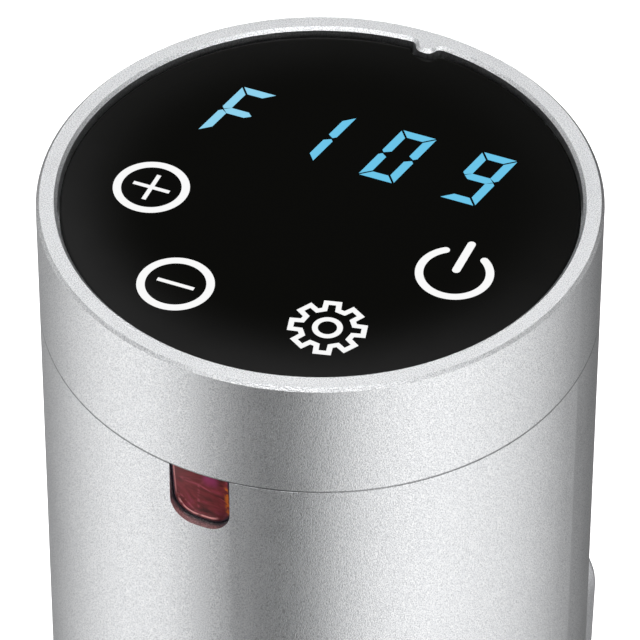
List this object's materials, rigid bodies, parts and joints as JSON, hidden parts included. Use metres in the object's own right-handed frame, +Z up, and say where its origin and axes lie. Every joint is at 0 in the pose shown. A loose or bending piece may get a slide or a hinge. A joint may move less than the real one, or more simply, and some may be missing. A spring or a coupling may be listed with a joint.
{
  "type": "sous vide circulator",
  "caption": "Slim immersion circulator with a touch panel on top, a spring clamp behind, and a steel skirt over its heater and pump.",
  "frame": {"origin": "centre of the flat foot, which the part stands on", "axes": "+Z up along the body to the touch panel, -Y towards the user, where the red window is, +Y towards the clamp"},
  "size_m": [0.06, 0.0796, 0.33],
  "materials": {
    "satin_aluminium": "bead blasted and anodised",
    "black_glass": "polished, printed black behind",
    "red_lens": "polished, clear red",
    "gasket_foam": "soft foam tape",
    "display_module": "dark grey module with tinted segments",
    "board_green": "solder mask",
    "spring_steel": "drawn wire",
    "chip_black": "moulded epoxy",
    "buzzer_black": "moulded",
    "frame_plastic": "glass filled",
    "screw_zinc": "zinc plated",
    "led_red": "tinted epoxy dome",
    "gland_black": "moulded nylon",
    "transformer_core": "varnished laminations and yellow tape",
    "capacitor_sleeve": "shrink sleeve",
    "sink_aluminium": "extruded, black anodised edges",
    "relay_blue": "moulded case",
    "choke_winding": "enamelled copper over a ferrite ring",
    "fuse_glass": "glass tube with plated caps",
    "terminal_green": "moulded nylon",
    "isolator_rubber": "moulded",
    "motor_steel": "zinc plated can",
    "magnet_grey": "sintered ferrite",
    "bell_white": "moulded nylon",
    "armature_core": "steel laminations with copper windings",
    "shaft_steel": "ground stainless steel",
    "coupling_brass": "turned",
    "collar_black": "glass filled nylon",
    "seal_rubber": "moulded",
    "grommet_silicone": "moulded red silicone",
    "cutout_brown": "phenolic case",
    "heater_steel": "polished heater sheath",
    "probe_steel": "polished stainless steel",
    "tube_steel": "drawn stainless steel",
    "bushing_white": "self-lubricating plastic",
    "impeller_black": "moulded",
    "skirt_steel": "brushed stainless steel",
    "foot_black": "moulded, fine texture",
    "bracket_steel": "satin steel",
    "screw_steel": "stainless steel",
    "lever_aluminium": "bead blasted and anodised",
    "pad_rubber": "moulded silicone"
  },
  "bodies": {
    "housing": {"bezel_ring": "satin_aluminium", "body_pad": "pad_rubber", "bracket_screws": "screw_steel", "buzzer": "buzzer_black", "capacitors": "capacitor_sleeve", "carrier_screws": "screw_zinc", "clamp_bracket": "bracket_steel", "clamp_pin": "screw_steel", "clamp_spring": "spring_steel", "collar": "collar_black", "collar_seal": "seal_rubber", "controller_chip": "chip_black", "cord_gland": "gland_black", "display_board": "board_green", "display_carrier": "frame_plastic", "emc_choke": "choke_winding", "fuse": "fuse_glass", "gland_nut": "gland_black", "heat_sink": "sink_aluminium", "heater_coil": "heater_steel", "heater_grommets": "grommet_silicone", "indicator_led": "led_red", "indicator_window": "red_lens", "led_display": "display_module", "level_sensors": "probe_steel", "main_chassis": "frame_plastic", "motor_can": "motor_steel", "motor_cradle": "frame_plastic", "motor_end_bell": "bell_white", "motor_isolators": "isolator_rubber", "motor_magnets": "magnet_grey", "motor_mount": "screw_zinc", "motor_screws": "screw_zinc", "nut_plate": "screw_zinc", "panel_gasket": "gasket_foam", "power_board": "board_green", "relay": "relay_blue", "shaft_bushings": "bushing_white", "shaft_seal": "seal_rubber", "shaft_tube": "tube_steel", "temperature_probe": "probe_steel", "terminal_block": "terminal_green", "thermal_cutout": "cutout_brown", "touch_contacts": "pad_rubber", "touch_panel": "black_glass", "transformer": "transformer_core", "triac": "chip_black", "upper_housing": "satin_aluminium"},
    "lever": {"clamp_lever": "lever_aluminium", "jaw_pad": "pad_rubber"},
    "rotor": {"motor_armature": "armature_core", "motor_shaft": "shaft_steel", "shaft_coupling": "coupling_brass", "drive_shaft": "shaft_steel", "impeller": "impeller_black"},
    "skirt": {"skirt": "skirt_steel"},
    "foot": {"end_cap": "foot_black", "intake_grille": "foot_black"}
  },
  "joints": [
    {"name": "clamp_hinge", "type": "hinge", "parent": "housing", "child": "lever", "pos_m": [0, 0.0395, 0.206], "axis": [1, 0, 0], "range_deg": [0, 22], "stiffness_Nm_per_rad": 0.6, "springref_deg": -34.38, "deforming": ["clamp_spring"]},
    {"name": "rotor_spin", "type": "hinge", "parent": "housing", "child": "rotor", "pos_m": [0, 0, 0.1], "axis": [0, 0, 1], "continuous": true},
    {"name": "skirt_slide", "type": "slide", "parent": "housing", "child": "skirt", "axis": [0, 0, -1], "range_m": [0, 0.13]},
    {"name": "foot_slide", "type": "slide", "parent": "skirt", "child": "foot", "axis": [0, 0, -1], "range_m": [0, 0.03]}
  ]
}
